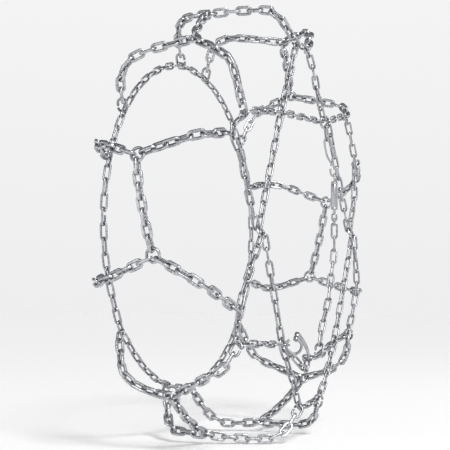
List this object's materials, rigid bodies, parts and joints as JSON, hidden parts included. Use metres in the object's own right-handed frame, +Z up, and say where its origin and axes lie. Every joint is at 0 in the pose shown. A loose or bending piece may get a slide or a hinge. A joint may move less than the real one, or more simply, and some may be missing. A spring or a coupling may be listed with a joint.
{
  "type": "tire snow chain",
  "caption": "Truck tyre snow chain in its fitted shape: cross chains on rings over the tread, hooked to side chains, with a tension chain, spring tensioner and closing lever.",
  "frame": {"origin": "centre of the wheel the chain is fitted to", "axes": "+Z up, +Y along the wheel's axis towards the inner side, the outer side with the tensioner at -Y"},
  "size_m": [1.1262, 0.3852, 1.0987],
  "materials": {
    "tread_zinc": "satin",
    "side_zinc": "satin",
    "ring_zinc": "satin",
    "hook_steel": "satin",
    "tube_zinc": "satin",
    "fitting_zinc": "satin",
    "spring_steel": "satin"
  },
  "bodies": {
    "chain_net": {"center_chain_1": "tread_zinc", "center_chain_2": "tread_zinc", "center_chain_3": "tread_zinc", "center_chain_4": "tread_zinc", "center_chain_5": "tread_zinc", "center_chain_6": "tread_zinc", "closing_shackle": "fitting_zinc", "inner_closing_hook": "hook_steel", "inner_cross_arms_1": "tread_zinc", "inner_cross_arms_2": "tread_zinc", "inner_cross_arms_3": "tread_zinc", "inner_cross_arms_4": "tread_zinc", "inner_cross_arms_5": "tread_zinc", "inner_cross_arms_6": "tread_zinc", "inner_side_chain_1": "side_zinc", "inner_side_chain_2": "side_zinc", "inner_side_hooks": "hook_steel", "lever_pin": "fitting_zinc", "lock_chain": "side_zinc", "outer_cross_arms_1": "tread_zinc", "outer_cross_arms_2": "tread_zinc", "outer_cross_arms_3": "tread_zinc", "outer_cross_arms_4": "tread_zinc", "outer_cross_arms_5": "tread_zinc", "outer_cross_arms_6": "tread_zinc", "outer_side_chain_1": "side_zinc", "outer_side_chain_2": "side_zinc", "outer_side_chain_3": "side_zinc", "outer_side_chain_4": "side_zinc", "outer_side_chain_5": "side_zinc", "outer_side_chain_6": "side_zinc", "outer_side_hooks": "hook_steel", "tail_chain": "side_zinc", "tail_hook": "hook_steel", "tension_chain": "side_zinc", "tensioner_end_cap": "tube_zinc", "tensioner_hook": "fitting_zinc", "tensioner_housing": "tube_zinc", "tensioner_spring": "spring_steel"},
    "tread_ring_1": {"tread_ring_1": "ring_zinc"},
    "tread_ring_2": {"tread_ring_2": "ring_zinc"},
    "tread_ring_3": {"tread_ring_3": "ring_zinc"},
    "tread_ring_4": {"tread_ring_4": "ring_zinc"},
    "tread_ring_5": {"tread_ring_5": "ring_zinc"},
    "tread_ring_6": {"tread_ring_6": "ring_zinc"},
    "tread_ring_7": {"tread_ring_7": "ring_zinc"},
    "tread_ring_8": {"tread_ring_8": "ring_zinc"},
    "tread_ring_9": {"tread_ring_9": "ring_zinc"},
    "tread_ring_10": {"tread_ring_10": "ring_zinc"},
    "tread_ring_11": {"tread_ring_11": "ring_zinc"},
    "tread_ring_12": {"tread_ring_12": "ring_zinc"},
    "junction_ring_1": {"junction_ring_1": "ring_zinc"},
    "junction_ring_2": {"junction_ring_2": "ring_zinc"},
    "junction_ring_3": {"junction_ring_3": "ring_zinc"},
    "junction_ring_4": {"junction_ring_4": "ring_zinc"},
    "junction_ring_5": {"junction_ring_5": "ring_zinc"},
    "junction_ring_6": {"junction_ring_6": "ring_zinc"},
    "tensioner_rod": {"tensioner_rod": "fitting_zinc", "tensioner_links": "side_zinc"},
    "closing_lever": {"closing_lever": "fitting_zinc"}
  },
  "joints": [
    {"name": "tread_ring_1_turn", "type": "hinge", "parent": "chain_net", "child": "tread_ring_1", "pos_m": [-0.54147, -0.02697, -0.09733], "axis": [-0.9806, -0.012, -0.1957], "continuous": true},
    {"name": "tread_ring_2_turn", "type": "hinge", "parent": "chain_net", "child": "tread_ring_2", "pos_m": [-0.53577, 0.01799, 0.12675], "axis": [-0.9732, 0.014, 0.2297], "continuous": true},
    {"name": "tread_ring_3_turn", "type": "hinge", "parent": "chain_net", "child": "tread_ring_3", "pos_m": [-0.3557, -0.02744, 0.41973], "axis": [-0.6596, -0.0113, 0.7515], "continuous": true},
    {"name": "tread_ring_4_turn", "type": "hinge", "parent": "chain_net", "child": "tread_ring_4", "pos_m": [-0.16017, 0.02464, 0.52656], "axis": [-0.2826, 0.0022, 0.9592], "continuous": true},
    {"name": "tread_ring_5_turn", "type": "hinge", "parent": "chain_net", "child": "tread_ring_5", "pos_m": [0.18466, -0.03006, 0.51845], "axis": [0.3297, -0.0027, 0.9441], "continuous": true},
    {"name": "tread_ring_6_turn", "type": "hinge", "parent": "chain_net", "child": "tread_ring_6", "pos_m": [0.3751, 0.02196, 0.40274], "axis": [0.689, 0.0126, 0.7246], "continuous": true},
    {"name": "tread_ring_7_turn", "type": "hinge", "parent": "chain_net", "child": "tread_ring_7", "pos_m": [0.54139, -0.02832, 0.09886], "axis": [0.9821, 0.0004, 0.1883], "continuous": true},
    {"name": "tread_ring_8_turn", "type": "hinge", "parent": "chain_net", "child": "tread_ring_8", "pos_m": [0.53594, 0.02206, -0.12426], "axis": [0.969, 0.0112, -0.2467], "continuous": true},
    {"name": "tread_ring_9_turn", "type": "hinge", "parent": "chain_net", "child": "tread_ring_9", "pos_m": [0.35529, -0.02714, -0.41998], "axis": [0.6617, -0.0158, -0.7496], "continuous": true},
    {"name": "tread_ring_10_turn", "type": "hinge", "parent": "chain_net", "child": "tread_ring_10", "pos_m": [0.15941, 0.02352, -0.52675], "axis": [0.2779, -0.0028, -0.9606], "continuous": true},
    {"name": "tread_ring_11_turn", "type": "hinge", "parent": "chain_net", "child": "tread_ring_11", "pos_m": [-0.15415, 0.02649, -0.52831], "axis": [-0.2718, 0.0297, -0.9619], "continuous": true},
    {"name": "tread_ring_12_turn", "type": "hinge", "parent": "chain_net", "child": "tread_ring_12", "pos_m": [-0.3558, 0.01965, -0.42022], "axis": [-0.6417, 0.0103, -0.7669], "continuous": true},
    {"name": "junction_ring_1_turn", "type": "hinge", "parent": "chain_net", "child": "junction_ring_1", "pos_m": [-0.27376, -0.167, -0.03507], "axis": [0, -0.8762, 0.4819], "continuous": true},
    {"name": "junction_ring_2_turn", "type": "hinge", "parent": "chain_net", "child": "junction_ring_2", "pos_m": [-0.14961, -0.16695, 0.26683], "axis": [0.0026, -1, -0.0001], "continuous": true},
    {"name": "junction_ring_3_turn", "type": "hinge", "parent": "chain_net", "child": "junction_ring_3", "pos_m": [0.1542, -0.16819, 0.28246], "axis": [-0.4423, -0.8967, -0.0161], "continuous": true},
    {"name": "junction_ring_4_turn", "type": "hinge", "parent": "chain_net", "child": "junction_ring_4", "pos_m": [0.36624, -0.16845, -0.00591], "axis": [0.0037, -0.9135, 0.4067], "continuous": true},
    {"name": "junction_ring_5_turn", "type": "hinge", "parent": "chain_net", "child": "junction_ring_5", "pos_m": [0.22336, -0.17, -0.30743], "axis": [0, -1, 0], "continuous": true},
    {"name": "junction_ring_6_turn", "type": "hinge", "parent": "chain_net", "child": "junction_ring_6", "pos_m": [-0.13808, -0.16621, -0.30305], "axis": [0.0377, -0.9993, -0.0024], "continuous": true},
    {"name": "tensioner_slide", "type": "slide", "parent": "chain_net", "child": "tensioner_rod", "axis": [0, 0, -1], "range_m": [0, 0.014], "stiffness_N_per_m": 3000, "springref_m": -0.012, "deforming": ["tensioner_spring"]},
    {"name": "lever_swing", "type": "hinge", "parent": "chain_net", "child": "closing_lever", "pos_m": [-0.07838, -0.182, -0.282], "axis": [-0.6286, 0, -0.7777], "range_deg": [0, 150]}
  ]
}
